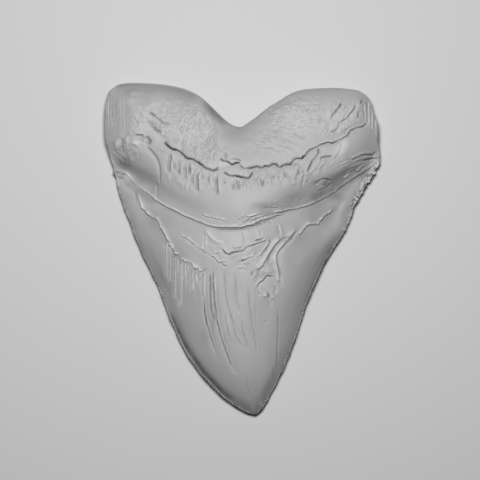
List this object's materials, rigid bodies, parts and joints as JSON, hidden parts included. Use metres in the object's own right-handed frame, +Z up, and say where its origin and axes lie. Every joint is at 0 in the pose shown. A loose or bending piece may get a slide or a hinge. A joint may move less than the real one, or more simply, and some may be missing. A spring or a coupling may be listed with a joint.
{
  "type": "fossil megalodon tooth",
  "caption": "Large triangular shark tooth with a thick lobed root, a ledged neck and a tapering, finely serrated crown, lying on its flat outer face.",
  "frame": {"origin": "centre of the tooth's outline, on the surface that the tooth lies on", "axes": "+Z up, out of the inner face; +Y from the tip to the root; +X to the right when the inner face is seen with the root at the top"},
  "size_m": [0.1058, 0.1274, 0.027],
  "materials": {
    "fossil": "matt neutral grey fossil; smoother and slightly sheeny on the crown, rough and pitted on the root, darker in cracks"
  },
  "bodies": {
    "root": {"megalodon_tooth": "fossil"}
  },
  "joints": []
}
